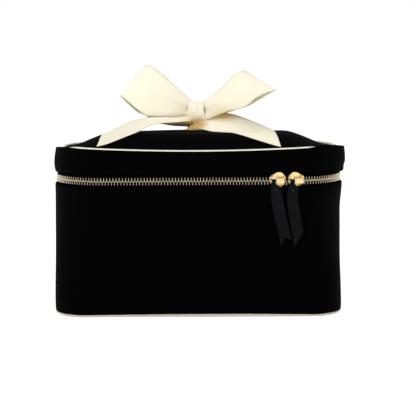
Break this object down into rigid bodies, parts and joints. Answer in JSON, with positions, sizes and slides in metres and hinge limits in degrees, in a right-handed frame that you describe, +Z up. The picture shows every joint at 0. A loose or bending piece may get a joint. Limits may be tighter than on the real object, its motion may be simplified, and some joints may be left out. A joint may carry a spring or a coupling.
{
  "type": "makeup bag",
  "caption": "Boxy soft makeup case with rounded corners, a padded crowned lid on a fabric hinge, metal zip with ribbon pulls, cream piping and a ribbon bow on top",
  "frame": {"origin": "on the surface that the bag stands on, below the middle of the body", "axes": "+Z up, the front of the bag faces -Y, +X to the right as seen from the front"},
  "size_m": [0.243, 0.1556, 0.2051],
  "materials": {
    "black_fabric": "matte black woven cotton with a faint sheen",
    "cream_ribbon": "cream grosgrain ribbon, fine cross ribs, soft satin sheen",
    "cream_piping": "cream bias-cut fabric over a cord",
    "zip_tape": "black knitted zip tape",
    "pull_ribbon": "black grosgrain ribbon",
    "lining_fabric": "light cream woven lining",
    "elastic": "ribbed cream elastic",
    "foam": "soft foam wadding",
    "board": "thin flexible plastic board",
    "zip_gold": "polished gold-coloured metal",
    "rivet_metal": "small polished black metal rivet"
  },
  "bodies": {
    "body": {"base_panel": "black_fabric", "base_piping": "cream_piping", "base_board": "board", "front_side_panel": "black_fabric", "back_panel": "black_fabric", "wall_padding": "foam", "body_lining": "lining_fabric", "back_pocket": "lining_fabric", "pocket_elastic": "elastic", "zip_tape_lower": "zip_tape", "zip_teeth_lower": "zip_gold", "zip_stop_lower_left": "zip_gold", "zip_stop_lower_right": "zip_gold", "hinge_panel": "black_fabric", "hinge_lining": "lining_fabric"},
    "lid": {"lid_band": "black_fabric", "lid_back_band": "black_fabric", "lid_piping": "cream_piping", "lid_top_panel": "black_fabric", "lid_padding": "foam", "lid_board": "board", "lid_side_padding": "foam", "lid_lining": "lining_fabric", "zip_tape_upper": "zip_tape", "zip_teeth_upper": "zip_gold", "zip_stop_upper_left": "zip_gold", "zip_stop_upper_right": "zip_gold", "bow_knot": "cream_ribbon", "bow_loop_left": "cream_ribbon", "bow_loop_right": "cream_ribbon", "bow_tail_left": "cream_ribbon", "bow_tail_right": "cream_ribbon", "bow_stay": "cream_ribbon"},
    "slider_left": {"slider_left": "zip_gold", "slider_bridge_left": "zip_gold"},
    "slider_right": {"slider_right": "zip_gold", "slider_bridge_right": "zip_gold"},
    "pull_left": {"pull_ribbon_left": "pull_ribbon", "pull_rivet_left": "rivet_metal"},
    "pull_right": {"pull_ribbon_right": "pull_ribbon", "pull_rivet_right": "rivet_metal"}
  },
  "joints": [
    {"name": "lid_hinge", "type": "hinge", "parent": "body", "child": "lid", "pos_m": [0, 0.0756, 0.1125], "axis": [-1, 0, 0], "range_deg": [0, 180], "deforming": ["hinge_panel", "hinge_lining"]},
    {"name": "slider_left_slide", "type": "slide", "parent": "body", "child": "slider_left", "axis": [-1, 0, 0], "range_m": [0, 0.132]},
    {"name": "slider_right_turn", "type": "hinge", "parent": "body", "child": "slider_right", "pos_m": [0.075, -0.03, 0.1125], "axis": [0, 0, 1], "range_deg": [0, 84]},
    {"name": "pull_left_swing", "type": "hinge", "parent": "slider_left", "child": "pull_left", "pos_m": [0.0622, -0.07875, 0.1125], "axis": [-1, 0, 0], "range_deg": [0, 160]},
    {"name": "pull_right_swing", "type": "hinge", "parent": "slider_right", "child": "pull_right", "pos_m": [0.07955, -0.07854, 0.1125], "axis": [-0.9956, -0.0933, 0], "range_deg": [0, 160]}
  ]
}
